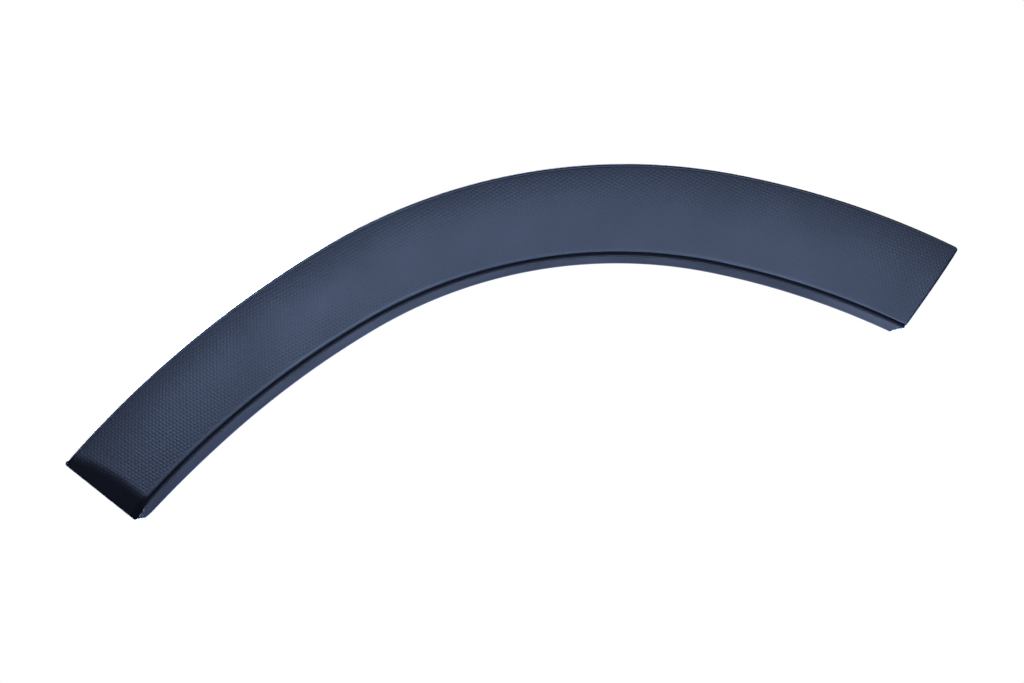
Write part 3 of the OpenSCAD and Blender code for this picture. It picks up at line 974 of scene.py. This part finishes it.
# Name, place, width and height in metres, power in watts, colour
LIGHTS = [
    ("front_far_left", (-1.4, FRONT_Y, 0.3), 0.7, 0.65, 5.5, WHITE),
    ("front_left", (-0.7, FRONT_Y, 0.3), 0.7, 0.65, 25.0, WHITE),
    ("front_middle", (0.0, FRONT_Y, 0.3), 0.7, 0.65, 5.5, WHITE),
    ("front_right", (0.7, FRONT_Y, 0.3), 0.7, 0.65, 17.0, WHITE),
    ("front_high", (0.35, FRONT_Y, 0.96), 2.8, 0.65, 17.5, WHITE),
    ("front_low", (0.7, FRONT_Y, -1.0), 0.7, 0.65, 63.0, WHITE),
    ("back_left", (-0.9, BACK_Y, 0.3), 0.9, 0.45, 40.0, COOL),
    ("back_middle", (0.0, BACK_Y, 0.3), 0.9, 0.45, 7.0, COOL),
    ("back_right_low", (0.9, BACK_Y, -0.75), 0.9, 0.45, 85.0, COOL),
    ("back_left_low", (-0.9, BACK_Y, -0.8), 0.9, 0.45, 72.0, COOL),
    ("below", (-0.2, 0.6, -1.3), 0.8, 0.6, 13.0, COOL),
    ("left_above", (-1.3, 0.2, 0.9), 0.7, 0.7, 16.0, COOL),
]
for light in LIGHTS:
    soft_light(*light)
print(f"{len(LIGHTS)} soft lights, {sum(light[4] for light in LIGHTS)} W in all")

# %% [markdown]
# ## Floor
#
# The trim is fixed to a car and doesn't stand on anything, and the photograph shows no ground. A pale
# floor well below it is out of the picture, and gives other views something to be seen against. It is
# there only to be seen: light that bounced off it would fill the bevel, which is almost black in the
# photograph.

# %% Floor
FLOOR_HALF, FLOOR_Z = 1.6, -0.9
floor_corners = [(a * FLOOR_HALF, b * FLOOR_HALF, FLOOR_Z) for a, b in ((-1, -1), (1, -1), (1, 1), (-1, 1))]
floor_mesh = bpy.data.meshes.new("floor")
floor_mesh.from_pydata(floor_corners, [], [(0, 1, 2, 3)])
floor = bpy.data.objects.new("floor", floor_mesh)
bpy.context.scene.collection.objects.link(floor)
floor_material, floor_tree = new_material("pale_floor")
floor_shader = add_node(
    floor_tree, "ShaderNodeBsdfPrincipled", inputs={"Base Color": linear("#f4f4f4"), "Roughness": 0.7}
)
add_node(floor_tree, "ShaderNodeOutputMaterial", inputs={"Surface": floor_shader.outputs["BSDF"]})
floor_mesh.materials.append(floor_material)
floor.visible_glossy = False
floor.visible_diffuse = False
print(f"floor {2 * FLOOR_HALF} m wide, {-FLOOR_Z} m below the main pin")

# %% [markdown]
# ## Camera
#
# The photograph looks straight at the face, level with the middle of the part. An orthographic camera
# would do for the face alone, but it wouldn't show the sides of the lip and the rim as a real one does.
# The photograph has too little perspective to measure its distance by, so the camera stands about a metre
# in front, and its centre and lens make the silhouette fit. The colours are shown as they are worked out,
# with no film curve over them.

# %% Camera
CAMERA_AT, LENS_MM, SENSOR_MM, CLIP_END = (-0.07018, -0.994, -0.08911), 52.2, 36.0, 20.0
camera_data = bpy.data.cameras.new("camera")
camera_data.lens = LENS_MM
camera_data.sensor_width = SENSOR_MM
camera_data.clip_end = CLIP_END
camera = bpy.data.objects.new("camera", camera_data)
bpy.context.scene.collection.objects.link(camera)
camera.location = CAMERA_AT
camera.rotation_euler = (np.pi / 2, 0, 0)
bpy.context.scene.camera = camera
bpy.context.scene.view_settings.view_transform = "Standard"
print(f"camera {-CAMERA_AT[1] * 1000:.0f} mm in front, lens {LENS_MM} mm")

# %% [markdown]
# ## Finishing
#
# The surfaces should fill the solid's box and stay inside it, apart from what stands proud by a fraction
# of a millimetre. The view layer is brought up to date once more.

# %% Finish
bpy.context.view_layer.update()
